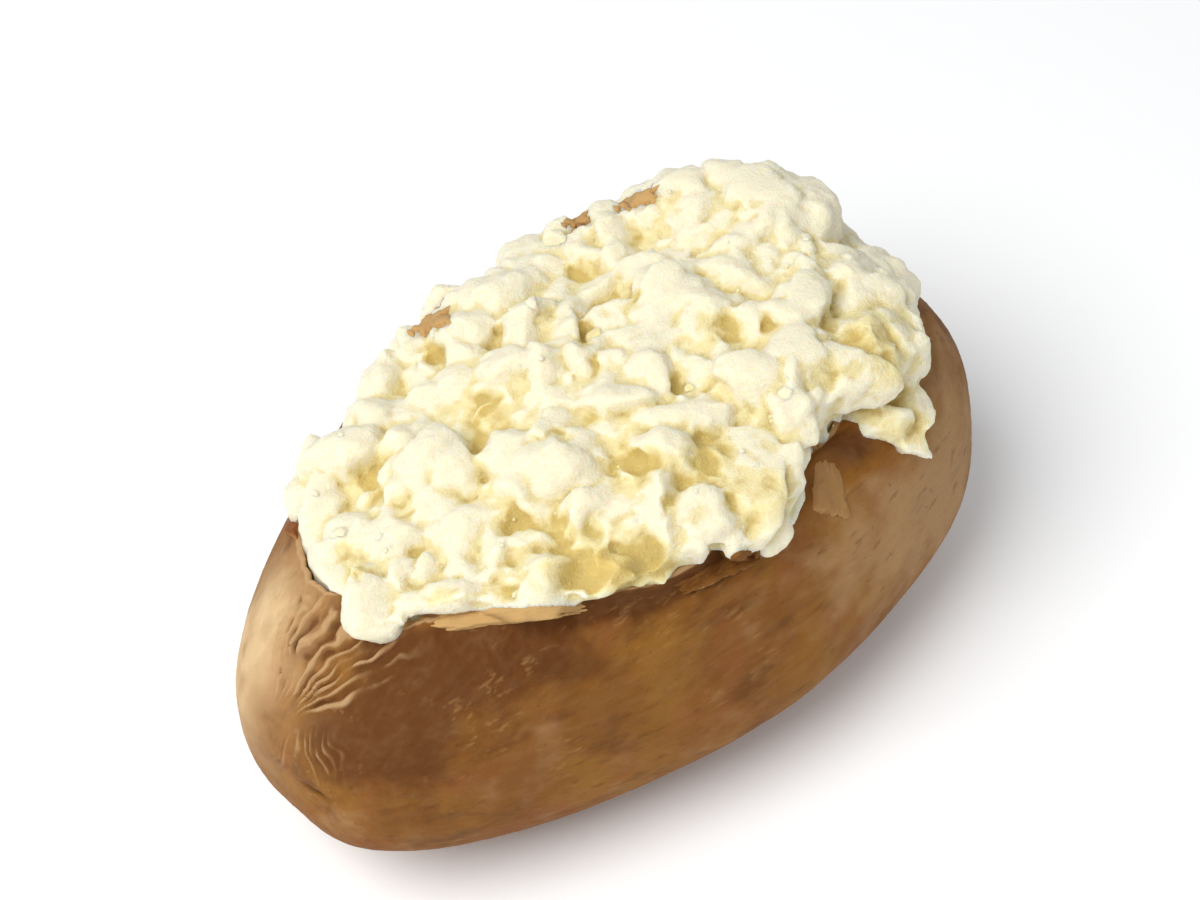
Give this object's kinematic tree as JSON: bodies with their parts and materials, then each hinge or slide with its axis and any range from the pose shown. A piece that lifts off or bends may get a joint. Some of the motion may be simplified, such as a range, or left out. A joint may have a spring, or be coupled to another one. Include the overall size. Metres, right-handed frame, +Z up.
{
  "type": "baked potato",
  "caption": "Large baked potato in its wrinkled brown skin, split along the top, with pale yellow flesh fluffed up out of the split in a loose heap.",
  "frame": {"origin": "middle of the whole part's outline, on the surface it rests on", "axes": "+X along the potato towards its thicker end, +Z up; the near side of the split faces -Y"},
  "size_m": [0.1328, 0.0826, 0.0686],
  "materials": {
    "skin": "dry baked potato skin, brown, wrinkled and mottled, low sheen",
    "flesh": "steamed pale yellow potato flesh, matt, soft and granular"
  },
  "bodies": {
    "root": {"jacket_potato": "skin", "fluffed_flesh": "flesh"}
  },
  "joints": []
}
